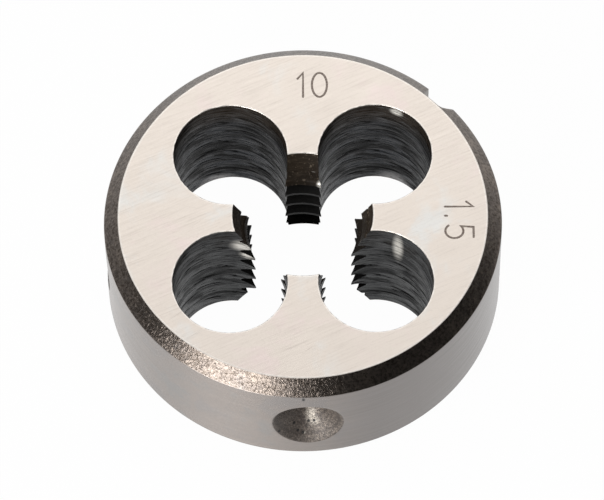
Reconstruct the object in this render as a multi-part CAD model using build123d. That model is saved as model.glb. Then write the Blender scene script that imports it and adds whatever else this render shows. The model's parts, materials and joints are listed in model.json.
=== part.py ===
from build123d import *
import os
from math import ceil, radians, tan

# Round threading die: one disc of hardened high-speed steel with a threaded bore.
# Four chip holes break into the bore and leave four lands, whose teeth cut at both edges.
#
# Frame: the thread axis is Z and the lower face lies on Z = 0, with the origin at its centre.
# The lands stand on the X and Y axes, with the chip holes and the notch between them.

# Disc
DISC_DIAMETER = 30.0
DISC_THICKNESS = 11.0
RIM_CHAMFER = 1.1           # at 45 degrees, round both faces

# Thread that the die cuts, right-handed
THREAD_DIAMETER = 10.0
THREAD_PITCH = 1.5
THREAD_ANGLE = 60.0         # between the flanks
THREAD_START = 1.2          # height at which the groove crosses the +X axis

# Lead-in cones, the same at both mouths of the bore
LEAD_LENGTH = 2.8
LEAD_OVERSIZE = 0.3         # by which the mouth's radius exceeds the thread's

# Chip holes
CHIP_HOLE_COUNT = 4
CHIP_HOLE_DIAMETER = 8.6
CHIP_HOLE_CIRCLE = 15.45    # diameter of the circle through their centres
CHIP_HOLE_START = 45.0      # azimuth of the first, in degrees
CHIP_CIRCLE_SHIFT = 0.3     # of that circle off the thread axis, along -Y

# Notch that lets the die be split and spread, in line with the first chip hole
NOTCH_DEPTH = 1.05
NOTCH_FLOOR_WIDTH = 1.75
NOTCH_ANGLE = 45.0          # between the flanks
NOTCH_ROOT_RADIUS = 0.5

# Dimples for the holder's locking screws
DIMPLE_COUNT = 2
DIMPLE_START = 181.2        # azimuth of the first, in degrees
DIMPLE_SPACING = 90.0       # from one to the next, in degrees
DIMPLE_DIAMETER = 5.7       # of the cone, where it crosses the plane that touches the wall
DIMPLE_ANGLE = 90.0

# How far a cutter runs out past the face that it cuts through
RUN_OUT = 1.0

disc_radius = DISC_DIAMETER / 2
mid_height = DISC_THICKNESS / 2
thread_radius = THREAD_DIAMETER / 2
flank_slope = tan(radians(THREAD_ANGLE / 2))

# A sharp V of height H = pitch / 2 / flank_slope loses H / 8 at the bottom of the die's groove
# and H / 6 at the tips of its teeth, which is the root of the bolt thread that they cut.
sharp_height = THREAD_PITCH / 2 / flank_slope
tooth_height = sharp_height * (1 - 1 / 8 - 1 / 6)
tip_radius = thread_radius - tooth_height


def turned_disc():
    """The blank from the lathe: a disc with chamfered rims, its bore and both lead-in cones.

    Its seam is turned into the first chip hole, so that no land carries it.
    """
    rim_radius = disc_radius - RIM_CHAMFER
    mouth_radius = thread_radius + LEAD_OVERSIZE
    section = make_face(Polyline(
        (mouth_radius, 0),
        (rim_radius, 0),
        (disc_radius, RIM_CHAMFER),
        (disc_radius, DISC_THICKNESS - RIM_CHAMFER),
        (rim_radius, DISC_THICKNESS),
        (mouth_radius, DISC_THICKNESS),
        (tip_radius, DISC_THICKNESS - LEAD_LENGTH),
        (tip_radius, LEAD_LENGTH),
        close=True,
    ))
    return Rot(0, 0, CHIP_HOLE_START) * revolve(Plane.XZ * section, Axis.Z)


def thread_groove():
    """The spiral groove between the teeth, as turns that follow on from each other.

    Each turn starts and ends in the first chip hole, and the groove runs out past both faces.
    """
    groove_clearance = THREAD_PITCH / 10
    inner_radius = tip_radius - groove_clearance
    root_half = THREAD_PITCH / 16
    inner_half = root_half + (thread_radius - inner_radius) * flank_slope
    profile = make_face(Polyline(
        (inner_radius, -inner_half),
        (thread_radius, -root_half),
        (thread_radius, root_half),
        (inner_radius, inner_half),
        close=True,
    ))
    path = Helix(THREAD_PITCH, THREAD_PITCH, tip_radius)
    turn = sweep(Plane.XZ * profile, path=path, is_frenet=True)
    first_height = THREAD_START + THREAD_PITCH * (CHIP_HOLE_START / 360 - 2)
    turn_count = ceil((DISC_THICKNESS - first_height) / THREAD_PITCH) + 1
    return [
        Pos(0, 0, first_height + i * THREAD_PITCH) * Rot(0, 0, CHIP_HOLE_START) * turn
        for i in range(turn_count)
    ]


def chip_holes():
    """The straight holes that carry the chips away from the cutting edges."""
    hole = Cylinder(CHIP_HOLE_DIAMETER / 2, DISC_THICKNESS + 2 * RUN_OUT)
    circle_centre = Pos(0, -CHIP_CIRCLE_SHIFT, mid_height)
    places = PolarLocations(CHIP_HOLE_CIRCLE / 2, CHIP_HOLE_COUNT, start_angle=CHIP_HOLE_START)
    return [circle_centre * place * hole for place in places]


def notch():
    """The V notch down the whole wall: a trapezium with a rounded root."""
    floor_x = disc_radius - NOTCH_DEPTH
    outer_x = disc_radius + RUN_OUT
    floor_half = NOTCH_FLOOR_WIDTH / 2
    outer_half = floor_half + (outer_x - floor_x) * tan(radians(NOTCH_ANGLE / 2))
    section = make_face(Polyline(
        (floor_x, -floor_half),
        (outer_x, -outer_half),
        (outer_x, outer_half),
        (floor_x, floor_half),
        close=True,
    ))
    root_corners = section.vertices().group_by(Axis.X)[0]
    section = fillet(root_corners, NOTCH_ROOT_RADIUS)
    return Rot(0, 0, CHIP_HOLE_START) * extrude(section, DISC_THICKNESS)


def dimple(azimuth):
    """A conical dimple at mid height on the wall."""
    slope = tan(radians(DIMPLE_ANGLE / 2))
    depth = DIMPLE_DIAMETER / 2 / slope
    section = make_face(Polyline(
        (disc_radius - depth, 0),
        (disc_radius + RUN_OUT, 0),
        (disc_radius + RUN_OUT, (depth + RUN_OUT) * slope),
        close=True,
    ))
    return Pos(0, 0, mid_height) * Rot(0, 0, azimuth) * revolve(section, Axis.X)


def die_body():
    body = turned_disc() - chip_holes()
    body -= thread_groove()
    body -= notch()
    for i in range(DIMPLE_COUNT):
        body -= dimple(DIMPLE_START + i * DIMPLE_SPACING)
    return body


os.makedirs("parts", exist_ok=True)
export_step(die_body(), "parts/die_body.step")
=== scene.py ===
import json
from math import acos, atan2, cos, degrees, hypot, pi, radians, sin, sqrt, tan

import bmesh
import bpy
import numpy as np
from mathutils import Matrix, Vector, noise


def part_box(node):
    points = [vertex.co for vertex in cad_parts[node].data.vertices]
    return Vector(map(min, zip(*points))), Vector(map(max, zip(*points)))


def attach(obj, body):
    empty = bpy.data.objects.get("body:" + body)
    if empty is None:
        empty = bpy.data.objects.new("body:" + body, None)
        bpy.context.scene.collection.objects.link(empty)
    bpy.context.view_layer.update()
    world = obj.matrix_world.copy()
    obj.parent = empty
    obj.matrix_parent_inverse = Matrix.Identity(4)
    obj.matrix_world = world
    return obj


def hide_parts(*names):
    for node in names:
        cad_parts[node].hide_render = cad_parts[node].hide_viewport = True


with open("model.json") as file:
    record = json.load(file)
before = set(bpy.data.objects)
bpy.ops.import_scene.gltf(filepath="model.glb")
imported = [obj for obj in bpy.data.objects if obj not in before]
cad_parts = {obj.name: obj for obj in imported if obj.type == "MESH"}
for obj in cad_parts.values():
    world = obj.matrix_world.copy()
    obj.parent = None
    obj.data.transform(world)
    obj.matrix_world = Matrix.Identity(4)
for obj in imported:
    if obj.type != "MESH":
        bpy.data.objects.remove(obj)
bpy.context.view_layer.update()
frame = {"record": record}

# Looks of the round threading die: its finely modelled skin, finishes, floor, light and camera.
# Sizes are in millimetres in the CAD frame, and turn into metres where a mesh or camera is made.
MM = 0.001

# ---------------------------------------------------------------- sizes read from the frame
mounts = {m["name"]: m for m in frame["record"]["mounts"]}
low_corner, high_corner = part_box("die_body")
THICKNESS = round((high_corner.z - low_corner.z) / MM, 3)
DISC_RADIUS = mounts["wall"]["dims"]["r_mm"]
CHAMFER = (THICKNESS - mounts["wall"]["dims"]["length_mm"]) / 2
TIP_RADIUS = mounts["thread"]["dims"]["r_mm"]
LEAD_LENGTH = (THICKNESS - mounts["thread"]["dims"]["length_mm"]) / 2
NOTCH_AZIMUTH = degrees(atan2(mounts["notch"]["axis"][1], mounts["notch"]["axis"][0]))
NOTCH_FLOOR = hypot(*mounts["notch"]["pos_m"][:2]) / MM
DIMPLE_AZIMUTHS = [
    degrees(atan2(mounts[name]["axis"][1], mounts[name]["axis"][0])) % 360
    for name in ("dimple_left", "dimple_front")
]

# ---------------------------------------------------------------- the part's other sizes
PITCH = 1.5
THREAD_RADIUS = 5.0
THREAD_START = 1.2          # height at which the groove crosses the +X axis
LEAD_OVERSIZE = 0.3         # by which the mouth's radius exceeds the thread's
MOUTH_RADIUS = THREAD_RADIUS + LEAD_OVERSIZE
LANDS = 4
LAND_STEP = 360 / LANDS     # from one land to the next, in degrees, with the first on +X
HOLE_START = 45.0           # azimuth of the first chip hole, in degrees
HOLE_RADIUS = 4.3
HOLE_CIRCLE_RADIUS = 7.725
HOLE_CIRCLE_SHIFT = 0.3     # along -Y
NOTCH_FLOOR_HALF = 0.875
NOTCH_HALF_ANGLE = 22.5
NOTCH_ROOT_RADIUS = 0.5
DIMPLE_RADIUS = 2.85        # of the cone, at the plane that touches the wall

# Rows and columns of the mesh
WALL_ROWS = 30              # between the upper and lower edge of the dimples' patches
OUTER_WALL_ROWS = 3         # from there to the chamfers
PATCH_HALF_ANGLE = 15.0     # of the square patch of wall that holds a dimple
PATCH_HALF_HEIGHT = 3.8
NOTCH_POINTS = 16           # across half of the notch
NOTCH_STEPS = (0, 0.01, 0.03, 0.08, 0.2, 0.45, 0.75)    # of the chamfer's rows from the notch floor
EDGE_STEPS = 4
FLANK_STEPS = 6
LAND_COLUMNS = 12
HOLE_COLUMNS = 84
DIMPLE_COLLAR = (0.3, 0.6, 0.8, 0.92, 1.0)      # shares of the way from a patch's edge to its cone
DIMPLE_RINGS = (0.85, 0.7, 0.55, 0.4, 0.25, 0.12, 0.04)     # shares of the cone's radius
DIMPLE_BLUNT = 0.02         # cut off the tip of the cone
SHARP_ANGLE = 33.0          # between faces, from which an edge is shaded as sharp
FLAT_NORMAL = 0.9999        # Z of a flat face's normal, at least
PATCH_STOPS = [a + side * PATCH_HALF_ANGLE for a in DIMPLE_AZIMUTHS for side in (-1, 1)]
WALL_COLUMNS = [
    round(b - a)
    for a, b in zip([NOTCH_AZIMUTH] + PATCH_STOPS, PATCH_STOPS + [NOTCH_AZIMUTH + 360])
]

# Worn edges
FACE_EDGE = 0.05            # radius where a chip hole or the bore meets a face
COARSE_WEAR = (1.3, 2.4)    # scale and strength of the noise that makes an edge's wear uneven
FINE_WEAR = (2.6, 2.2)
LEAST_WEAR = 0.2
RIM_RAGGED = 0.04           # how far the chamfer's grain eats into the face
RIM_EDGE = 0.08             # radius of the chamfers' edges
NOTCH_EDGE = 0.06
DIMPLE_EDGE = 0.06

# Plain size numbers, cut a little way into the upper face: text, middle and turn from +X
NUMBERS = [("10", (0.75, 11.25), 0), ("1.5", (11.75, -0.6), -90)]
MARK_HEIGHT = 2.12
MARK_WIDTH = 0.17
MARK_DEPTH = 0.02
MARK_SPACE = 0.32           # between glyphs, as a share of their height

# Colours
FACE_COLOUR = (0.79, 0.715, 0.645)
FACE_COOL = (0.78, 0.765, 0.735)
FACE_PINK = (0.81, 0.70, 0.66)
# painted highlight along the edges of the upper face
FACE_EDGE_HIGHLIGHT = (1.0, 0.95, 0.89)
FACE_SCRATCH = (0.42, 0.37, 0.33)
WALL_COLOUR = (0.262, 0.236, 0.222)
WALL_WARM = (0.28, 0.244, 0.221)
WALL_COOL = (0.258, 0.24, 0.227)
# painted shade for the right of the wall
WALL_PAINTED_SHADE = (0.205, 0.185, 0.174)
WALL_DARK = (0.19, 0.175, 0.175)
RIM_COLOUR = (0.142, 0.121, 0.107)
RIM_PALE = (0.21, 0.176, 0.15)
RIM_COOL = (0.136, 0.122, 0.115)
RIM_DARK = (0.07, 0.056, 0.045)
HOLE_COLOUR = (0.009, 0.009, 0.0094)
HOLE_BLUE = (0.0135, 0.0155, 0.0195)
HOLE_BROWN = (0.024, 0.0165, 0.0105)
HOLE_GREY = (0.054, 0.0555, 0.0565)
HOLE_PALE = (0.065, 0.065, 0.067)
HOLE_DARK = (0.002, 0.002, 0.002)
# colour of the painted reflection of the floor, low in the back chip holes
HOLE_REFLECTION_COLOUR = (0.20, 0.195, 0.195)
GLINT_COLOUR = (0.80, 0.765, 0.70)       # colour of the painted glints in the chip holes and on the lands
THREAD_COLOUR = (0.009, 0.0085, 0.008)
THREAD_BROWN = (0.022, 0.016, 0.011)
THREAD_PALE = (0.014, 0.012, 0.011)
THREAD_TAN = (0.055, 0.042, 0.03)
THREAD_SPECK = (0.20, 0.16, 0.12)
DIMPLE_COLOUR = (0.068, 0.056, 0.048)
DIMPLE_PALE = (0.23, 0.19, 0.158)
# also the painted shade on the left of the dimples
DIMPLE_DARK = (0.05, 0.04, 0.035)
DIMPLE_GLINT_COLOUR = (0.62, 0.56, 0.48)
PIT_COLOUR = (0.01, 0.009, 0.008)
NOTCH_COLOUR = (0.24, 0.22, 0.20)
MARK_COLOUR = (0.21, 0.165, 0.14)
MARK_PALE = (0.34, 0.29, 0.25)
WALL_OIL = 0.6              # coat weight of the thin film of oil on the wall
OIL_ROUGHNESS = 0.2
EDGE_BAND = 0.07            # width of the painted highlight along the edges of the face

# Spots of painted glints and painted reflections, each with its centre and its radii, and the pits
# painted glints in three of the chip holes
HOLE_GLINTS = [
    ((7.15, -1.82, 8.9), (0.6, 0.5, 2.5)),
    ((7.15, 9.1, 10.45), (0.75, 0.5, 0.6)),
    ((-4.5, -1.6, 8.85), (1.3, 0.7, 1.1)),
    ((-4.2, -1.65, 7.6), (0.85, 0.6, 0.85)),
]
# painted reflections of the floor, at the bottom edge of the back two chip holes
HOLE_REFLECTION_SPOTS = [
    ((-6.9, 9.2, 0.2), (2.1, 1.4, 0.9)),
    ((7.1, 9.1, 0.3), (2.0, 1.4, 1.1)),
]
# painted glints on the lead-in of the back land
LAND_GLINTS = [
    ((1.35, 3.96, 8.38), (0.42, 0.5, 0.48)),
    ((0.6, 4.36, 8.95), (0.09, 0.3, 0.35)),
    ((0.8, 4.5, 9.35), (0.25, 0.3, 0.1)),
]
# painted glints in the front dimple
DIMPLE_GLINTS = [
    ((0.5, -13.4, 4.3), (0.6, 0.8, 0.6)),
    ((0.65, -13.75, 3.95), (0.7, 0.7, 0.5)),
    ((0.03, -14.44, 3.2), (0.12, 0.3, 0.13)),
]
PIT_RADIUS = 0.15
PITS = [    # six in the front dimple, and two that make one speck on the wall above it
    (-0.75, -14.02, 3.97),
    (0.34, -13.8, 3.85),
    (0.76, -13.79, 3.91),
    (-0.46, -14.37, 3.42),
    (-0.08, -14.45, 3.24),
    (-1.88, -14.79, 4.1),
    (0.0, -15.0, 9.5),
    (0.0, -15.0, 9.7),
]
GRIND_ANGLE = 25.0          # of the grinding lines on the upper face, from +X
SCRATCHES = [   # each kind's turn from the grinding lines, offset in the noise, depth and detail
    (0, 0, 0.3, 1.0),
    (14, 5, 0.35, 1.5),
    (-38, 11, 0.22, 2.1),
]

# Light and floor
WORLD_AZIMUTH = 106.0       # of its brightest part, behind the die and a little to the left
WORLD_LOW = 0.04            # level of the studio low in front
WORLD_HIGH = 0.80           # level of the studio where the upper face reflects it
WORLD_DIM = 0.12            # cosine of the angle from the brightest part where it is at its lowest
WORLD_FULL = 0.92           # and where it is at its highest
FLOOR_HALF = 3.0            # metres, as is the gap under the die
FLOOR_GAP = 0.00001
FLOOR_COLOUR = (0.8, 0.8, 0.8)
FLOOR_GLOW = 0.98           # share of the floor that glows white to the camera and in reflections

# Lamps: the direction that each stands in, its distance and size in metres, and its level
BACK_LAMP = dict(azimuth=90, elevation=46, distance=0.16, width=0.11, height=0.11, level=0.58)
LEFT_LAMP = dict(azimuth=237, elevation=15.5, distance=0.4, width=0.25, height=0.22, level=10.2)

# Camera, worked out from the photograph's ellipses, in millimetres and degrees
SENSOR_WIDTH = 36.0
CAMERA_LENS = 313.3
CAMERA_ELEVATION = 61.153
CAMERA_DISTANCE = 400.06
CAMERA_TARGET = (-0.102, 0.0, 5.364)
CAMERA_ROLL = 0.901
CAMERA_YAW = 0.63

# Material slots of the skin, in order
FACE, WALL, RIM, HOLE, THREAD, DIMPLE, NOTCH, MARK = range(8)


class Skin:
    """Points and faces of the die, gathered before they go into one mesh."""

    def __init__(self):
        self.points, self.faces, self.slots = [], [], []

    def add_points(self, points):
        first = len(self.points)
        self.points.extend([tuple(float(c) for c in p) for p in points])
        return list(range(first, len(self.points)))

    def add_face(self, corners, slot):
        self.faces.append(tuple(corners))
        self.slots.append(slot)

    def strip(self, lower, upper, slots):
        """Quads between two closed rows of points. slots is one slot, or one for each column."""
        count = len(lower)
        for i in range(count):
            j = (i + 1) % count
            slot = slots if isinstance(slots, int) else slots[i]
            self.add_face((lower[i], lower[j], upper[j], upper[i]), slot)


# ---------------------------------------------------------------- bore and chip holes
hole_centres = [
    np.array([
        HOLE_CIRCLE_RADIUS * cos(radians(HOLE_START + LAND_STEP * i)),
        HOLE_CIRCLE_RADIUS * sin(radians(HOLE_START + LAND_STEP * i)) - HOLE_CIRCLE_SHIFT,
    ])
    for i in range(LANDS)
]


def lead_radius(z):
    """Radius of the lead-in cones at height z, which falls below TIP_RADIUS between them."""
    depth = min(z, THICKNESS - z)
    return MOUTH_RADIUS + (TIP_RADIUS - MOUTH_RADIUS) * depth / LEAD_LENGTH


def hole_reach(hole, land_radius, hole_radius):
    """Half the angle that a chip hole takes out of a bore of land_radius, seen from the axis."""
    distance = hypot(*hole_centres[hole])
    return acos((land_radius**2 + distance**2 - hole_radius**2) / (2 * land_radius * distance))


def land_corner(land, side, height, thread_radius, grow):
    """(azimuth, radius) of one end of a land, in a row whose height depends on the azimuth.

    The two depend on each other, so a first guess is improved a few times.
    """
    hole = land if side > 0 else land - 1
    centre = hole_centres[hole]
    towards_hole = degrees(atan2(centre[1], centre[0]))
    middle = LAND_STEP * land
    turn = middle + ((towards_hole - middle + 180) % 360 - 180)
    azimuth = turn - side * degrees(hole_reach(hole, THREAD_RADIUS, HOLE_RADIUS))
    for _ in range(4):
        z = height(azimuth)
        radius = max(thread_radius, lead_radius(z), TIP_RADIUS) + grow
        azimuth = turn - side * degrees(hole_reach(hole, radius, HOLE_RADIUS + grow))
    return azimuth, radius


def void_row(base, thread_radius, low, high, grow=0.0):
    """One closed row of points round the bore and the chip holes, rising with the thread.

    Where it would leave the span from low to high, the row stays at that height. Its walls
    stand back by grow.
    """
    def height(azimuth):
        return min(max(base + PITCH * azimuth / 360, low), high)

    ends = [
        [land_corner(land, side, height, thread_radius, grow) for side in (-1, 1)]
        for land in range(LANDS)
    ]
    points = []
    for land in range(LANDS):
        (start, _), (end, end_radius) = ends[land]
        for azimuth in np.linspace(start, end, LAND_COLUMNS + 1):
            z = height(azimuth)
            radius = max(thread_radius, lead_radius(z), TIP_RADIUS) + grow
            points.append((radius * cos(radians(azimuth)), radius * sin(radians(azimuth)), z))
        following = (land + 1) % LANDS
        next_start, next_radius = ends[following][0]
        centre = hole_centres[land]
        heading = atan2(centre[1], centre[0])
        radius = HOLE_RADIUS + grow
        distance = hypot(*centre)

        def opening(bore):
            return acos((radius**2 + distance**2 - bore**2) / (2 * radius * distance))

        first = heading - pi + opening(end_radius)
        last = heading + pi - opening(next_radius)
        rise = np.linspace(base + PITCH * end / 360, base + PITCH * next_start / 360,
                           HOLE_COLUMNS + 1)
        for angle, z in list(zip(np.linspace(first, last, HOLE_COLUMNS + 1), rise))[1:-1]:
            points.append((centre[0] + radius * cos(angle), centre[1] + radius * sin(angle),
                           min(max(z, low), high)))
    return points


def thread_rows():
    """(height above the groove's middle, radius) through one pitch of the thread."""
    root_half, tip_half = PITCH / 16, PITCH / 12
    rise = np.linspace(0, 1, FLANK_STEPS + 1)
    flank = root_half + (PITCH / 2 - tip_half - root_half) * rise
    radii = THREAD_RADIUS + (TIP_RADIUS - THREAD_RADIUS) * rise
    rows = list(zip(flank, radii)) + [(PITCH / 2, TIP_RADIUS)]
    return rows + [(PITCH - h, r) for h, r in reversed(rows[:-1])]


def wear(x, y):
    """How worn an edge is at a point: about 1 on average, and never under LEAST_WEAR."""
    coarse = noise.noise(Vector((x, y, 0)) * COARSE_WEAR[0])
    fine = noise.noise(Vector((x, y, 5)) * FINE_WEAR[0])
    return max(LEAST_WEAR, 1 + COARSE_WEAR[1] * coarse + FINE_WEAR[1] * fine)


def edge_rows(face_height, inward):
    """The worn edge round the bore and chip holes, from the face inward."""
    wall_height = face_height + inward * FACE_EDGE
    wall = np.array(void_row(wall_height, 0, wall_height, wall_height))
    lip = np.array(void_row(face_height, 0, face_height, face_height, FACE_EDGE))
    worn = np.array([[wear(x, y)] for x, y, _ in wall])
    rows = []
    for step in range(EDGE_STEPS):
        turn = radians(90 - 90 * step / EDGE_STEPS)
        row = wall.copy()
        row[:, :2] += (lip - wall)[:, :2] * worn * (1 - cos(turn))
        row[:, 2] = face_height + inward * FACE_EDGE * (1 - sin(turn))
        rows.append(row)
    return rows


def build_void(skin):
    """The walls of the bore and chip holes, with their worn edges."""
    low, high = FACE_EDGE, THICKNESS - FACE_EDGE
    rows = edge_rows(0, 1)
    first_turn = -int(2 + THREAD_START // PITCH)
    last_turn = int(THICKNESS // PITCH) + 2
    for turn in range(first_turn, last_turn):
        for height, radius in thread_rows():
            rows.append(void_row(THREAD_START + turn * PITCH + height, radius, low, high))
    rows += edge_rows(THICKNESS, -1)[::-1]
    numbers = [skin.add_points(row) for row in rows]
    walls = ([THREAD] * LAND_COLUMNS + [HOLE] * HOLE_COLUMNS) * LANDS
    for k, (lower, upper) in enumerate(zip(numbers, numbers[1:])):
        on_edge = k < EDGE_STEPS or k >= len(numbers) - 1 - EDGE_STEPS
        skin.strip(lower, upper, FACE if on_edge else walls)


# ---------------------------------------------------------------- rim, wall, notch and dimples
def rounded_corner(before, corner, after, radius, steps=EDGE_STEPS):
    """Points on the arc that rounds a corner of a profile."""
    before, corner, after = (np.array(p, float) for p in (before, corner, after))
    back = (before - corner) / np.linalg.norm(before - corner)
    ahead = (after - corner) / np.linalg.norm(after - corner)
    half = acos(float(back @ ahead)) / 2
    middle = (back + ahead) / np.linalg.norm(back + ahead)
    centre = corner + middle * radius / sin(half)
    start = corner + back * radius / tan(half) - centre
    end = corner + ahead * radius / tan(half) - centre
    chord = [start * (1 - k / steps) + end * k / steps for k in range(steps + 1)]
    return [centre + p * radius / np.linalg.norm(p) for p in chord]


def between(start, end, count):
    """The points that divide a straight run into count parts, without its start."""
    return [np.array(start) + (np.array(end) - np.array(start)) * k / count
            for k in range(1, count + 1)]


def rim_profile():
    """The outside's profile, up from the lower face.

    Returns its points as (radius, height), and the slot of the strip above each point.
    """
    inside = (DISC_RADIUS - 2 * CHAMFER, 0)
    face_end, shoulder = (DISC_RADIUS - CHAMFER, 0), (DISC_RADIUS, CHAMFER)
    mid_wall = (DISC_RADIUS, THICKNESS / 2)
    edge = rounded_corner(inside, face_end, shoulder, RIM_EDGE)
    turn = rounded_corner(face_end, shoulder, mid_wall, RIM_EDGE)
    notch_radii = [NOTCH_FLOOR + step for step in NOTCH_STEPS]
    slope = [(r, r - face_end[0]) for r in notch_radii if edge[-1][0] < r < turn[0][0]]
    rim = edge + slope + turn
    patch_low = (DISC_RADIUS, THICKNESS / 2 - PATCH_HALF_HEIGHT)
    patch_high = (DISC_RADIUS, THICKNESS / 2 + PATCH_HALF_HEIGHT)
    wall = between(turn[-1], patch_low, OUTER_WALL_ROWS)
    lower = rim + wall
    slots = [FACE] * (len(edge) - 1) + [RIM] * (len(slope) + 1)
    slots += [WALL] * (len(turn) - 1 + len(wall))
    middle = between(patch_low, patch_high, WALL_ROWS)[:-1]
    upper = [(r, THICKNESS - z) for r, z in reversed(lower)]
    slots += [WALL] * (len(middle) + 1) + slots[::-1]
    return lower + middle + upper, slots


def notch_half(radius):
    """Half the notch's plan where the outside has this radius: x out, y across.

    Its last point is on the rounded corner. Returns the points, and how far round from the
    notch's middle the wall starts, in degrees.
    """
    if radius <= NOTCH_FLOOR:
        return [(radius, 0.0)] * NOTCH_POINTS, 0.0
    half_angle = radians(NOTCH_HALF_ANGLE)
    corner = np.array([NOTCH_FLOOR, NOTCH_FLOOR_HALF])
    flank_end = corner + DISC_RADIUS * np.array([cos(half_angle), sin(half_angle)])
    root = rounded_corner((NOTCH_FLOOR, 0), corner, flank_end, NOTCH_ROOT_RADIUS, 2 * EDGE_STEPS)
    path = [np.array([NOTCH_FLOOR, 0.0])] + root + [flank_end]
    run = np.cumsum([0] + [float(np.linalg.norm(b - a)) for a, b in zip(path, path[1:])])

    def along(distance):
        return np.array([float(np.interp(distance, run, [p[i] for p in path])) for i in (0, 1)])

    low, high = 0.0, float(run[-1])
    for _ in range(40):
        middle = (low + high) / 2
        low, high = (middle, high) if hypot(*along(middle)) < radius else (low, middle)
    flank_run = max(low - NOTCH_EDGE, low / 2)
    outer, lip = along(low), along(flank_run)
    points = [along(d) for d in np.linspace(0, flank_run, NOTCH_POINTS - 1)]
    wall_angle = atan2(outer[1], outer[0]) + min(NOTCH_EDGE, low / 2) / radius
    wall_start = radius * np.array([cos(wall_angle), sin(wall_angle)])
    points.append(outer / 2 + (lip + wall_start) / 4)
    return [tuple(p) for p in points], degrees(wall_angle)


def outside_plan(radius):
    """One closed row of points round the outside, anticlockwise from the notch's middle."""
    half, wall_angle = notch_half(radius)
    stops = [NOTCH_AZIMUTH + wall_angle] + PATCH_STOPS + [NOTCH_AZIMUTH + 360 - wall_angle]
    azimuths = []
    for start, end, count in zip(stops, stops[1:], WALL_COLUMNS):
        azimuths += list(np.linspace(start, end, count, endpoint=False))
    azimuths.append(stops[-1])
    wall = [(radius * cos(radians(a)), radius * sin(radians(a))) for a in azimuths]
    c, s = cos(radians(NOTCH_AZIMUTH)), sin(radians(NOTCH_AZIMUTH))
    left = [(c * x - s * y, s * x + c * y) for x, y in half]
    right = [(c * x + s * y, s * x - c * y) for x, y in half]
    return left + wall + right[:0:-1]


def build_outside(skin):
    """Rims, wall and notch, with the dimples set into the wall."""
    profile, slots = rim_profile()
    rows = []
    for k, (radius, height) in enumerate(profile):
        plan = np.array(outside_plan(radius))
        steps_in = min(k, len(profile) - 1 - k)
        if steps_in < EDGE_STEPS:
            share = RIM_RAGGED * (1 - steps_in / EDGE_STEPS) / radius
            plan = np.array([p * (1 - share * wear(*p)) for p in plan])
        rows.append(skin.add_points([(x, y, height) for x, y in plan]))
    patch_low = THICKNESS / 2 - PATCH_HALF_HEIGHT
    first = min(range(len(profile)), key=lambda k: abs(profile[k][1] - patch_low))
    last = first + WALL_ROWS
    stops = np.cumsum([NOTCH_POINTS] + WALL_COLUMNS)
    patches = [(int(stops[1]), int(stops[2])), (int(stops[3]), int(stops[4]))]
    count = len(rows[0])
    for k, slot in enumerate(slots):
        lower, upper = rows[k], rows[k + 1]
        for i in range(count):
            if first <= k < last and any(a <= i < b for a, b in patches):
                continue
            j = (i + 1) % count
            in_notch = i < NOTCH_POINTS - 1 or i >= count - NOTCH_POINTS + 1
            skin.add_face((lower[i], lower[j], upper[j], upper[i]), NOTCH if in_notch else slot)
    for azimuth, (a, b) in zip(DIMPLE_AZIMUTHS, patches):
        border = [rows[first][i] for i in range(a, b)] + [rows[k][b] for k in range(first, last)]
        border += [rows[last][i] for i in range(b, a, -1)]
        border += [rows[k][a] for k in range(last, first, -1)]
        build_dimple(skin, azimuth, border)


def build_dimple(skin, azimuth, border):
    """Fills a square hole of the wall, whose edge is border, round a conical dimple."""
    c, s = cos(radians(azimuth)), sin(radians(azimuth))

    def placed(across, up, out):
        return c * out - s * across, s * out + c * across, up + THICKNESS / 2

    def on_wall(across, up):
        return placed(across, up, sqrt(DISC_RADIUS**2 - across**2))

    rim, mouth = [], []
    for number in border:
        x, y, z = skin.points[number]
        across, up = c * y - s * x, z - THICKNESS / 2
        theta = atan2(up, across)
        radius = DIMPLE_RADIUS
        for _ in range(8):
            radius = DIMPLE_RADIUS - DISC_RADIUS + sqrt(DISC_RADIUS**2 - (radius * cos(theta))**2)
        rim.append(np.array([across, up]))
        mouth.append((theta, radius))

    def round_mouth(offset, sink=0.0):
        """A ring at a distance outside the mouth, on the wall, or inside it, on the cone."""
        ring = []
        for theta, radius in mouth:
            r = radius + offset
            across, up = r * cos(theta), r * sin(theta)
            wall_out = sqrt(DISC_RADIUS**2 - across**2)
            cone_out = DISC_RADIUS - DIMPLE_RADIUS + r
            ring.append(placed(across, up, min(wall_out, cone_out) - sink))
        return ring

    previous = border
    target = [np.array([(r + DIMPLE_EDGE) * cos(t), (r + DIMPLE_EDGE) * sin(t)]) for t, r in mouth]
    for share in DIMPLE_COLLAR:
        ring = [on_wall(*(a * (1 - share) + b * share)) for a, b in zip(rim, target)]
        numbers = skin.add_points(ring)
        skin.strip(previous, numbers, WALL)
        previous = numbers
    rings = [round_mouth(0, DIMPLE_EDGE / 3), round_mouth(-DIMPLE_EDGE)]
    for share in DIMPLE_RINGS:
        rings.append([placed(r * share * cos(t), r * share * sin(t),
                             DISC_RADIUS - DIMPLE_RADIUS + r * share) for t, r in mouth])
    for ring in rings:
        numbers = skin.add_points(ring)
        skin.strip(previous, numbers, DIMPLE)
        previous = numbers
    tip = skin.add_points([placed(0, 0, DISC_RADIUS - DIMPLE_RADIUS + DIMPLE_BLUNT)])[0]
    for i, number in enumerate(previous):
        skin.add_face((number, previous[(i + 1) % len(previous)], tip), DIMPLE)


# ---------------------------------------------------------------- plain size numbers on the face
def arc(centre, radii, start, end, steps=16):
    """Points along an elliptic arc, from one angle in degrees to another."""
    return [(centre[0] + radii[0] * cos(radians(a)), centre[1] + radii[1] * sin(radians(a)))
            for a in np.linspace(start, end, steps + 1)]


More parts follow.
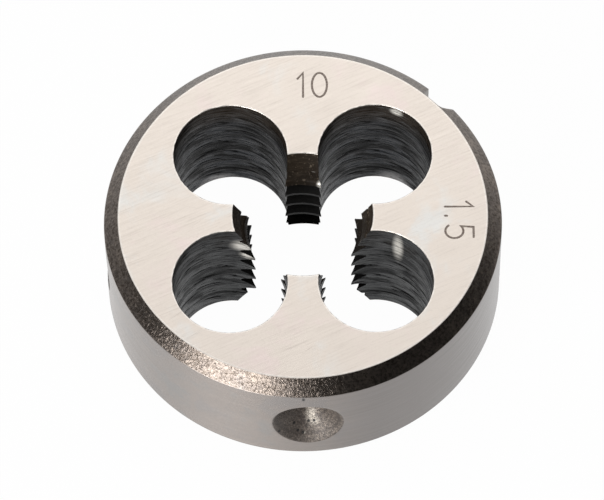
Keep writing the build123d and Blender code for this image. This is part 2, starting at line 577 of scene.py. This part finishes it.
# Strokes of each glyph, of height 1 from the baseline, and the glyph's width
GLYPHS = {
    "0": ([arc((0.27, 0.5), (0.27, 0.5), 0, 360, 36)], 0.54),
    "1": ([[(0.0, 0.76), (0.2, 1.0), (0.2, 0.0)]], 0.2),
    "5": ([[(0.5, 1.0), (0.09, 1.0)] + arc((0.25, 0.32), (0.29, 0.32), 132, -140)], 0.54),
    ".": ([[(0.05, 0.07), (0.05, 0.0)]], 0.1),
}


def ribbon_outlines(path):
    """Outlines of a stroke of even width: one for an open path, or two for a closed one."""
    closed = hypot(path[0][0] - path[-1][0], path[0][1] - path[-1][1]) < 1e-6
    points = [np.array(p, float) for p in (path[:-1] if closed else path)]
    count = len(points)
    sides = []
    for side in (1, -1):
        line = []
        for i, p in enumerate(points):
            before = points[i - 1] if closed or i else None
            after = points[(i + 1) % count] if closed or i < count - 1 else None
            a = (p - before) / np.linalg.norm(p - before) if before is not None else None
            b = (after - p) / np.linalg.norm(after - p) if after is not None else a
            a = b if a is None else a
            middle = (a + b) / np.linalg.norm(a + b)
            normal = np.array([-middle[1], middle[0]])
            line.append(p + normal * side * MARK_WIDTH / 2 / max(float(middle @ a), 0.5))
        sides.append(line)
    if closed:
        return sides
    caps = []
    for p, towards in ((points[-1], points[-1] - points[-2]), (points[0], points[0] - points[1])):
        heading = atan2(towards[1], towards[0])
        caps.append([p + MARK_WIDTH / 2 * np.array([cos(heading + t), sin(heading + t)])
                     for t in np.linspace(pi / 2, -pi / 2, 6)[1:-1]])
    return [sides[0] + caps[0] + sides[1][::-1] + caps[1]]


def build_number(skin, text, centre, heading):
    """Cuts a number a little way into the upper face."""
    widths = [GLYPHS[c][1] for c in text]
    length = MARK_HEIGHT * (sum(widths) + MARK_SPACE * (len(text) - 1))
    c, s = cos(radians(heading)), sin(radians(heading))
    start = -length / 2
    for glyph, width in zip(text, widths):
        for path in GLYPHS[glyph][0]:
            placed = []
            for x, y in path:
                along, up = start + MARK_HEIGHT * x, MARK_HEIGHT * (y - 0.5)
                placed.append((centre[0] + c * along - s * up, centre[1] + s * along + c * up))
            floor_rings = []
            for outline in ribbon_outlines(placed):
                top = skin.add_points([(x, y, THICKNESS) for x, y in outline])
                low = skin.add_points([(x, y, THICKNESS - MARK_DEPTH) for x, y in outline])
                skin.strip(low, top, MARK)
                floor_rings.append(low)
            if len(floor_rings) == 2:
                skin.strip(floor_rings[0], floor_rings[1], MARK)
            else:
                skin.add_face(floor_rings[0], MARK)
        start += MARK_HEIGHT * (width + MARK_SPACE)


# ---------------------------------------------------------------- the mesh
def fill_face(bm, height):
    """Closes one flat face, round every outline that lies on it."""
    edges = [e for e in bm.edges if len(e.link_faces) == 1
             and all(abs(v.co.z - height * MM) < 1e-7 for v in e.verts)]
    made = bmesh.ops.triangle_fill(bm, edges=edges, use_beauty=True, normal=(0, 0, 1))
    for item in made["geom"]:
        if isinstance(item, bmesh.types.BMFace):
            item.material_index = FACE


def surface_maps(bm):
    """A map in millimetres over each kind of surface: round it, and along or up it."""
    layer = bm.loops.layers.uv.new("surface")
    for face in bm.faces:
        slot = face.material_index
        middle = face.calc_center_median() / MM
        pivot, radius = (0.0, 0.0), DISC_RADIUS
        if slot == HOLE:
            pivot = min(hole_centres, key=lambda p: hypot(middle.x - p[0], middle.y - p[1]))
            radius = HOLE_RADIUS
        elif slot == THREAD:
            radius = TIP_RADIUS
        reference = atan2(middle.y - pivot[1], middle.x - pivot[0])
        dimple = min(DIMPLE_AZIMUTHS, key=lambda a: abs((a - degrees(reference) + 180) % 360 - 180))
        across = (-sin(radians(dimple)), cos(radians(dimple)))
        if slot in (WALL, RIM) and degrees(reference) < NOTCH_AZIMUTH:
            reference += 2 * pi
        for loop in face.loops:
            p = loop.vert.co / MM
            if slot in (FACE, MARK):
                loop[layer].uv = (p.x, p.y)
                continue
            if slot == DIMPLE:
                loop[layer].uv = (p.x * across[0] + p.y * across[1], p.z - THICKNESS / 2)
                continue
            angle = atan2(p.y - pivot[1], p.x - pivot[0])
            angle += 2 * pi * round((reference - angle) / (2 * pi))
            rise = p.z
            if slot == RIM:
                rise = (DISC_RADIUS - hypot(p.x, p.y)) * sqrt(2)
            loop[layer].uv = (radius * angle, rise)


def build_die():
    """The die as one closed mesh, with its slots, its map and its sharp edges."""
    skin = Skin()
    build_void(skin)
    build_outside(skin)
    for text, centre, heading in NUMBERS:
        build_number(skin, text, centre, heading)
    mesh = bpy.data.meshes.new("die_steel")
    mesh.from_pydata([tuple(c * MM for c in p) for p in skin.points], [], skin.faces)
    mesh.polygons.foreach_set("material_index", skin.slots)
    bm = bmesh.new()
    bm.from_mesh(mesh)
    bmesh.ops.remove_doubles(bm, verts=bm.verts, dist=1e-7)
    fill_face(bm, 0)
    fill_face(bm, THICKNESS)
    bmesh.ops.recalc_face_normals(bm, faces=bm.faces)
    surface_maps(bm)
    for edge in bm.edges:
        kinds = {f.material_index for f in edge.link_faces}
        flat = [abs(f.normal.z) > FLAT_NORMAL for f in edge.link_faces]
        ends_face = any(flat) and not all(flat) or len(kinds) > 1 and FACE in kinds
        edge.smooth = not ends_face and edge.calc_face_angle(0) < radians(SHARP_ANGLE)
    bm.to_mesh(mesh)
    bm.free()
    mesh.polygons.foreach_set("use_smooth", [True] * len(mesh.polygons))
    die = bpy.data.objects.new("die_steel", mesh)
    bpy.context.scene.collection.objects.link(die)
    return die


# ---------------------------------------------------------------- finishes
class Finish:
    """A material under construction, with short calls for the nodes that it is made of."""

    def __init__(self, name, colour, metallic, roughness, anisotropic=0.0, specular=0.5):
        self.material = bpy.data.materials.new(name)
        self.material.use_nodes = True
        self.tree = self.material.node_tree
        self.shader = self.tree.nodes["Principled BSDF"]
        settings = {"Base Color": (*colour, 1), "Metallic": metallic, "Roughness": roughness,
                    "Anisotropic": anisotropic, "Specular IOR Level": specular}
        for socket, value in settings.items():
            self.shader.inputs[socket].default_value = value
        if anisotropic:
            self.shader.inputs["Anisotropic Rotation"].default_value = 0.25
            around = self.node("ShaderNodeTangent", direction_type="UV_MAP", uv_map="surface")
            self.link(around.outputs[0], "Tangent")
        self.map = self.node("ShaderNodeUVMap", uv_map="surface").outputs[0]
        place = self.node("ShaderNodeTexCoord").outputs["Object"]
        self.place = self.stretch(place, (1 / MM,) * 3)

    def node(self, kind, values=(), **settings):
        """Adds a node. Values go to its sockets or are linked to them, and settings to itself."""
        made = self.tree.nodes.new(kind)
        for name, value in settings.items():
            setattr(made, name, value)
        for socket, value in dict(values).items():
            if isinstance(value, bpy.types.NodeSocket):
                self.tree.links.new(value, made.inputs[socket])
            else:
                made.inputs[socket].default_value = value
        return made

    def link(self, output, socket):
        self.tree.links.new(output, self.shader.inputs[socket])

    def stretch(self, vector, scale, turn=0.0, move=(0, 0, 0)):
        return self.node("ShaderNodeMapping", {
            "Vector": vector, "Scale": scale, "Rotation": (0, 0, radians(turn)), "Location": move,
        }).outputs[0]

    def turned(self, vector, turn, scale, move=(0, 0, 0)):
        """Turns a map clockwise by turn degrees first, and then stretches it."""
        return self.stretch(self.stretch(vector, (1, 1, 1), -turn), scale, move=move)

    def noise(self, vector, scale=1.0, detail=2.0, roughness=0.5, distortion=0.0):
        return self.node("ShaderNodeTexNoise", {
            "Vector": vector, "Scale": scale, "Detail": detail, "Roughness": roughness,
            "Distortion": distortion,
        }).outputs[0]

    def math(self, operation, a, b):
        return self.node("ShaderNodeMath", {0: a, 1: b}, operation=operation).outputs[0]

    def ramp(self, value, start, end, low=0.0, high=1.0):
        """Goes smoothly from low to high as value goes from start to end."""
        return self.node("ShaderNodeMapRange", {
            "Value": value, "From Min": start, "From Max": end, "To Min": low, "To Max": high,
        }, interpolation_type="SMOOTHSTEP").outputs[0]

    def mix(self, share, first, second):
        made = self.node("ShaderNodeMix", {"Factor": share}, data_type="RGBA")
        for socket, value in (("A", first), ("B", second)):
            end = next(s for s in made.inputs if s.name == socket and s.type == "RGBA")
            if isinstance(value, bpy.types.NodeSocket):
                self.tree.links.new(value, end)
            else:
                end.default_value = (*value, 1)
        return next(s for s in made.outputs if s.type == "RGBA")

    def length(self, vector):
        return self.node("ShaderNodeVectorMath", {0: vector}, operation="LENGTH").outputs["Value"]

    def near(self, centre, radii, full):
        """Falls to 0 at radii from a point of the die, and is 1 up to that share of them."""
        centred = self.stretch(self.place, (1, 1, 1), move=[-c for c in centre])
        return self.ramp(self.length(self.stretch(centred, [1 / r for r in radii])), 1.0, full)

    def spots(self, places, full=0.2):
        """1 at each of several places, given as centres and radii, and 0 away from them."""
        found = [self.near(centre, radii, full) for centre, radii in places]
        total = found[0]
        for spot in found[1:]:
            total = self.math("MAXIMUM", total, spot)
        return total

    def pits(self, scale, radius, share):
        """1 in small round pits, in that share of the cells of a grid of about 1 / scale mm."""
        made = self.node("ShaderNodeTexVoronoi", {"Vector": self.place, "Scale": scale})
        chosen = self.math("LESS_THAN", self.axis(made.outputs["Color"], "X"), share)
        return self.math("MULTIPLY", chosen,
                         self.ramp(made.outputs["Distance"], radius * scale, radius * scale * 0.5))

    def axis(self, vector, name):
        return self.node("ShaderNodeSeparateXYZ", {0: vector}).outputs[name]

    def bump(self, height, distance, base=None):
        """Raises the surface by up to distance, over the bumps of base."""
        values = {"Height": height, "Distance": distance * MM, "Strength": 1.0}
        if base is not None:
            values["Normal"] = base
        return self.node("ShaderNodeBump", values).outputs[0]


def ground_face():
    """Surface-ground steel: pale and warm, with fine straight lines and a few scratches."""
    f = Finish("ground_face", FACE_COLOUR, 1.0, 0.40)
    lines = f.noise(f.turned(f.map, GRIND_ANGLE, (0.28, 8.5, 1)), detail=5, roughness=0.75)
    patches = f.noise(f.map, 0.16, detail=4, roughness=0.65, distortion=0.4)
    colour = f.mix(f.ramp(patches, 0.53, 0.7), FACE_COLOUR, FACE_COOL)
    colour = f.mix(f.ramp(patches, 0.46, 0.28), colour, FACE_PINK)
    grain = f.noise(f.map, 5.0, detail=3, roughness=0.7)
    colour = f.mix(f.ramp(grain, 0.5, 0.75, 0, 0.12), colour, FACE_SCRATCH)
    colour = f.mix(f.ramp(lines, 0.5, 0.78, 0, 0.24), colour, FACE_SCRATCH)
    for turn, offset, depth, detail in SCRATCHES:
        marks = f.noise(f.turned(f.map, GRIND_ANGLE + turn, (0.1, 9, 1), (offset, 3, 0)), detail=2)
        where = f.noise(f.map, 0.3, detail=detail)
        scratch = f.math("MULTIPLY", f.ramp(marks, 0.67, 0.73), f.ramp(where, 0.5, 0.62))
        colour = f.mix(f.math("MULTIPLY", scratch, depth), colour, FACE_SCRATCH)
    # a painted highlight along the edges of the face
    edge_highlight = f.math("MULTIPLY", painted_edge_highlight(f), f.ramp(grain, 0.3, 0.6, 0.2, 0.65))
    colour = f.mix(edge_highlight, colour, FACE_EDGE_HIGHLIGHT)
    colour = f.mix(f.pits(scale=0.35, radius=0.07, share=0.35), colour, FACE_SCRATCH)
    f.link(colour, "Base Color")
    f.link(f.ramp(lines, 0.3, 0.7, 0.34, 0.46), "Roughness")
    f.link(f.bump(lines, 0.006), "Normal")
    return f.material


def painted_edge_highlight(f):
    """1 on a narrow band along the face's edges, where a highlight is painted, and 0 elsewhere."""
    shifted = f.stretch(f.map, (1, 1, 1), move=(0, HOLE_CIRCLE_SHIFT, 0))
    quarter = f.node("ShaderNodeVectorMath", {0: shifted}, operation="ABSOLUTE").outputs["Vector"]
    across = -HOLE_CIRCLE_RADIUS / sqrt(2)
    from_hole = f.length(f.stretch(quarter, (1, 1, 1), move=(across, across, 0)))
    from_axis = f.length(f.map)
    bands = [
        f.ramp(from_hole, HOLE_RADIUS + 2 * EDGE_BAND, HOLE_RADIUS + EDGE_BAND),
        f.ramp(from_axis, MOUTH_RADIUS + 2 * EDGE_BAND, MOUTH_RADIUS + EDGE_BAND),
        f.ramp(from_axis, DISC_RADIUS - CHAMFER - 2 * EDGE_BAND, DISC_RADIUS - CHAMFER - EDGE_BAND),
    ]
    return f.math("MAXIMUM", bands[0], f.math("MAXIMUM", bands[1], bands[2]))


def ground_wall():
    """Cylindrically ground steel: satin and oiled, with very fine lines and painted shade on the
    right.
    """
    f = Finish("ground_wall", WALL_COLOUR, 0.92, 0.4, anisotropic=0.8)
    f.shader.inputs["Coat Weight"].default_value = WALL_OIL
    f.shader.inputs["Coat Roughness"].default_value = OIL_ROUGHNESS
    lines = f.noise(f.stretch(f.map, (0.10, 9, 1)), detail=5, roughness=0.8)
    grain = f.noise(f.place, 4.0, detail=3, roughness=0.7)
    patches = f.noise(f.place, 0.3, detail=3, roughness=0.6)
    colour = f.mix(f.ramp(patches, 0.35, 0.5), WALL_COLOUR, WALL_WARM)
    colour = f.mix(f.ramp(patches, 0.52, 0.68), colour, WALL_COOL)
    # painted shade: the wall grows darker towards the right
    colour = f.mix(f.ramp(f.axis(f.place, "X"), 0.0, 6.0), colour, WALL_PAINTED_SHADE)
    colour = f.mix(f.ramp(lines, 0.55, 0.8, 0, 0.08), colour, WALL_DARK)
    colour = f.mix(f.ramp(grain, 0.55, 0.75, 0, 0.2), colour, WALL_DARK)
    f.link(f.mix(f.spots(all_pits(), 0.5), colour, PIT_COLOUR), "Base Color")
    f.link(f.ramp(lines, 0.35, 0.65, 0.30, 0.44), "Roughness")
    f.link(f.bump(lines, 0.0035, base=f.bump(grain, 0.006)), "Normal")
    return f.material


def dark_rim():
    """The chamfer, dark from hardening, with a fine worm-like grain that is rougher on the left."""
    f = Finish("dark_rim", RIM_COLOUR, 1.0, 0.28)
    grain = f.noise(f.place, 4.8, detail=3, roughness=0.6, distortion=0.8)
    patches = f.noise(f.place, 0.6, detail=4, roughness=0.65)
    mottle = f.noise(f.place, 4.2, detail=3, roughness=0.7, distortion=0.3)
    rough = f.ramp(f.axis(f.place, "X"), 6.0, 2.0, 0.35, 1.0)
    colour = f.mix(f.ramp(patches, 0.5, 0.7), RIM_COLOUR, RIM_PALE)
    colour = f.mix(f.ramp(patches, 0.45, 0.3, 0, 0.8), colour, RIM_COOL)
    colour = f.mix(f.ramp(mottle, 0.52, 0.38, 0, 0.85), colour, RIM_DARK)
    colour = f.mix(f.ramp(mottle, 0.53, 0.65, 0, 0.9), colour, RIM_PALE)
    f.link(colour, "Base Color")
    f.link(f.bump(f.math("MULTIPLY", grain, rough), 0.031), "Normal")
    return f.material


def chip_hole():
    """The drilled chip holes, blue-black, with ragged streaks round them.

    They are browner at the top and greyer in front. The back two have a painted reflection
    of the floor at the bottom edge, and three have painted glints.
    """
    f = Finish("chip_hole_wall", HOLE_COLOUR, 0.3, 0.28, specular=0.0)
    height = f.axis(f.place, "Z")
    broad = f.noise(f.turned(f.map, 6, (0.3, 0.9, 1)), detail=3, roughness=0.6, distortion=0.8)
    streaks = f.noise(f.turned(f.map, 5, (0.36, 3.8, 1)), detail=6, roughness=0.75, distortion=0.7)
    grain = f.noise(f.place, 4.0, detail=2)
    colour = f.mix(f.ramp(broad, 0.42, 0.62), HOLE_COLOUR, HOLE_BLUE)
    colour = f.mix(f.ramp(height, THICKNESS - 3.2, THICKNESS - 0.8), colour, HOLE_BROWN)
    in_front = f.ramp(f.axis(f.place, "Y"), 0.0, -2.0)
    worn = f.math("MULTIPLY", in_front, f.ramp(broad, 0.35, 0.55, 0.5, 1))
    colour = f.mix(worn, colour, HOLE_GREY)
    colour = f.mix(f.ramp(streaks, 0.52, 0.66), colour, HOLE_PALE)
    colour = f.mix(f.ramp(streaks, 0.46, 0.39), colour, HOLE_DARK)
    # a painted reflection of the floor near the bottom edge
    floor_reflection = f.math("MULTIPLY", f.spots(HOLE_REFLECTION_SPOTS), f.ramp(grain, 0.35, 0.5, 0.5, 1))
    colour = f.mix(floor_reflection, colour, HOLE_REFLECTION_COLOUR)
    # painted glints
    painted_glint = f.math("MULTIPLY", f.spots(HOLE_GLINTS), f.ramp(streaks, 0.42, 0.52, 0.45, 1))
    metal = f.ramp(broad, 0.35, 0.6, 0.4, 0.85)
    metal = f.math("MULTIPLY", metal, f.ramp(streaks, 0.4, 0.5, 0.15, 1))
    metal = f.math("MULTIPLY", metal, f.ramp(height, THICKNESS - 1.8, THICKNESS - 0.6, 1, 0.6))
    metal = f.math("MAXIMUM", metal, f.math("MULTIPLY", floor_reflection, 0.5))
    f.link(f.mix(painted_glint, colour, GLINT_COLOUR), "Base Color")
    f.link(f.math("MAXIMUM", metal, painted_glint), "Metallic")
    f.link(f.bump(streaks, 0.04), "Normal")
    return f.material


def cut_thread():
    """The threaded lands: black between the teeth, and brown and speckled in the lead-in."""
    f = Finish("cut_thread", THREAD_COLOUR, 0.0, 0.38, specular=0.1)
    height = f.axis(f.place, "Z")
    lead = f.ramp(height, THICKNESS - 1.3 * LEAD_LENGTH, THICKNESS - 0.8 * LEAD_LENGTH)
    streaks = f.noise(f.stretch(f.map, (0.5, 4, 1)), detail=5, roughness=0.7)
    grain = f.noise(f.place, 4.5, detail=3, roughness=0.7)
    colour = f.mix(lead, THREAD_COLOUR, THREAD_BROWN)
    colour = f.mix(f.ramp(streaks, 0.5, 0.7), colour, f.mix(lead, THREAD_PALE, THREAD_TAN))
    speckle = f.math("MULTIPLY", f.ramp(grain, 0.58, 0.66), lead)
    colour = f.mix(f.math("MULTIPLY", speckle, 0.5), colour, THREAD_SPECK)
    # painted glints on the lead-in
    painted_glint = f.spots(LAND_GLINTS)
    f.link(f.mix(painted_glint, colour, GLINT_COLOUR), "Base Color")
    f.link(painted_glint, "Metallic")
    f.link(f.ramp(height, LEAD_LENGTH, LEAD_LENGTH + 0.6, 0, 0.1), "Specular IOR Level")
    f.link(f.bump(grain, 0.03, base=f.bump(streaks, 0.02)), "Normal")
    return f.material


def punched_dimple():
    """The rough cones of the dimples, with painted shade on the left.

    They have faint rings, painted glints and a few black pits.
    """
    f = Finish("dimple_cone", DIMPLE_COLOUR, 0.35, 0.42)
    out = f.length(f.map)
    rings = f.noise(f.node("ShaderNodeCombineXYZ", {"X": out}).outputs[0], 4.5, detail=3)
    grain = f.noise(f.place, 7.0, detail=4, roughness=0.7, distortion=0.5)
    colour = f.mix(f.ramp(grain, 0.42, 0.66), DIMPLE_COLOUR, DIMPLE_PALE)
    colour = f.mix(f.ramp(rings, 0.52, 0.38, 0, 0.6), colour, DIMPLE_DARK)
    # painted shade: darker on the left, towards -X
    colour = f.mix(f.ramp(f.axis(f.place, "X"), 0.35, -0.15, 0, 0.5), colour, DIMPLE_DARK)
    # painted glints
    painted_glint = f.math("MULTIPLY", f.spots(DIMPLE_GLINTS, 0.0), f.ramp(grain, 0.4, 0.58, 0.25, 1))
    colour = f.mix(painted_glint, colour, DIMPLE_GLINT_COLOUR)
    f.link(f.mix(f.spots(all_pits(), 0.5), colour, PIT_COLOUR), "Base Color")
    f.link(f.bump(grain, 0.035, base=f.bump(rings, 0.03)), "Normal")
    return f.material


def all_pits():
    """The pits as centres and radii."""
    return [(centre, (PIT_RADIUS,) * 3) for centre in PITS]


def ground_notch():
    """The notch, ground along its height."""
    f = Finish("notch_wall", NOTCH_COLOUR, 1.0, 0.4)
    lines = f.noise(f.stretch(f.map, (6, 0.3, 1)), detail=3)
    f.link(f.mix(f.ramp(lines, 0.4, 0.7), NOTCH_COLOUR, WALL_DARK), "Base Color")
    return f.material


def etched_mark():
    """The numbers: dull and brown, and a little uneven."""
    f = Finish("etched_mark", MARK_COLOUR, 0.6, 0.55)
    grain = f.noise(f.place, 9.0, detail=2)
    f.link(f.mix(f.ramp(grain, 0.4, 0.65), MARK_COLOUR, MARK_PALE), "Base Color")
    return f.material


# ---------------------------------------------------------------- floor, light and camera
def make_floor():
    """A plain white floor that keeps a faint shadow of the die."""
    mesh = bpy.data.meshes.new("floor")
    half = FLOOR_HALF
    mesh.from_pydata([(-half, -half, 0), (half, -half, 0), (half, half, 0), (-half, half, 0)],
                     [], [(0, 1, 2, 3)])
    floor = bpy.data.objects.new("floor", mesh)
    floor.location.z = -FLOOR_GAP
    bpy.context.scene.collection.objects.link(floor)
    material = bpy.data.materials.new("white_floor")
    material.use_nodes = True
    tree = material.node_tree
    tree.nodes.clear()
    rays = tree.nodes.new("ShaderNodeLightPath")
    seen = rays.outputs["Is Camera Ray"]
    for name in ("Is Glossy Ray", "Is Transmission Ray"):
        either = tree.nodes.new("ShaderNodeMath")
        either.operation = "MAXIMUM"
        tree.links.new(seen, either.inputs[0])
        tree.links.new(rays.outputs[name], either.inputs[1])
        seen = either.outputs[0]
    share = tree.nodes.new("ShaderNodeMath")
    share.operation = "MULTIPLY"
    tree.links.new(seen, share.inputs[0])
    share.inputs[1].default_value = FLOOR_GLOW
    matt = tree.nodes.new("ShaderNodeBsdfDiffuse")
    matt.inputs["Color"].default_value = (*FLOOR_COLOUR, 1)
    glow = tree.nodes.new("ShaderNodeEmission")
    blend = tree.nodes.new("ShaderNodeMixShader")
    tree.links.new(share.outputs[0], blend.inputs["Fac"])
    tree.links.new(matt.outputs[0], blend.inputs[1])
    tree.links.new(glow.outputs[0], blend.inputs[2])
    out = tree.nodes.new("ShaderNodeOutputMaterial")
    tree.links.new(blend.outputs[0], out.inputs["Surface"])
    mesh.materials.append(material)


def direction(azimuth, elevation):
    """The unit vector that points that way from the die."""
    a, e = radians(azimuth), radians(elevation)
    return Vector((cos(a) * cos(e), sin(a) * cos(e), sin(e)))


def make_softbox(name, azimuth, elevation, distance, width, height, level):
    """A rectangular lamp that faces the die. At a level of 1 it is as bright as white."""
    data = bpy.data.lights.new(name, "AREA")
    data.shape = "RECTANGLE"
    data.size, data.size_y = width, height
    data.energy = level * pi * width * height
    lamp = bpy.data.objects.new(name, data)
    back = direction(azimuth, elevation)
    lamp.location = back * distance + Vector((0, 0, THICKNESS * MM))
    lamp.rotation_mode = "QUATERNION"
    lamp.rotation_quaternion = (-back).to_track_quat("-Z", "Y")
    bpy.context.scene.collection.objects.link(lamp)


def make_world():
    """A soft studio: brightest where the upper face reflects it, and dim low in front."""
    world = bpy.data.worlds.new("studio")
    bpy.context.scene.world = world
    world.use_nodes = True
    tree = world.node_tree
    background = tree.nodes["Background"]
    background.inputs["Strength"].default_value = 1.0
    where = tree.nodes.new("ShaderNodeTexCoord")
    towards = tree.nodes.new("ShaderNodeVectorMath")
    towards.operation = "DOT_PRODUCT"
    tree.links.new(where.outputs["Generated"], towards.inputs[0])
    towards.inputs[1].default_value = direction(WORLD_AZIMUTH, CAMERA_ELEVATION)
    level = tree.nodes.new("ShaderNodeMapRange")
    level.interpolation_type = "SMOOTHSTEP"
    for socket, value in {"From Min": WORLD_DIM, "From Max": WORLD_FULL, "To Min": WORLD_LOW,
                          "To Max": WORLD_HIGH}.items():
        level.inputs[socket].default_value = value
    tree.links.new(towards.outputs["Value"], level.inputs["Value"])
    tree.links.new(level.outputs[0], background.inputs["Color"])


def make_camera():
    """The photograph's view: from the front, well above, through a long lens."""
    scene = bpy.context.scene
    data = bpy.data.cameras.new("camera")
    data.sensor_width = SENSOR_WIDTH
    data.lens = CAMERA_LENS
    data.clip_start, data.clip_end = 0.01, 100
    camera = bpy.data.objects.new("camera", data)
    scene.collection.objects.link(camera)
    yaw = Matrix.Rotation(radians(CAMERA_YAW), 4, "Z")
    back = yaw @ direction(-90, CAMERA_ELEVATION)
    target = yaw @ (Vector(CAMERA_TARGET) * MM)
    camera.rotation_mode = "QUATERNION"
    camera.location = target + back * CAMERA_DISTANCE * MM
    roll = Matrix.Rotation(radians(-CAMERA_ROLL), 4, "Z")
    aim = (-back).to_track_quat("-Z", "Y").to_matrix().to_4x4() @ roll
    camera.rotation_quaternion = aim.to_quaternion()
    scene.camera = camera


# ---------------------------------------------------------------- the scene
scene = bpy.context.scene
scene.view_settings.view_transform = "Standard"
finishes = [ground_face(), ground_wall(), dark_rim(), chip_hole(), cut_thread(),
            punched_dimple(), ground_notch(), etched_mark()]
die = build_die()
for finish in finishes:
    die.data.materials.append(finish)
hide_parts("die_body")
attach(die, "root")
make_floor()
make_world()
make_softbox("softbox_back", **BACK_LAMP)
make_softbox("softbox_left", **LEFT_LAMP)
make_camera()
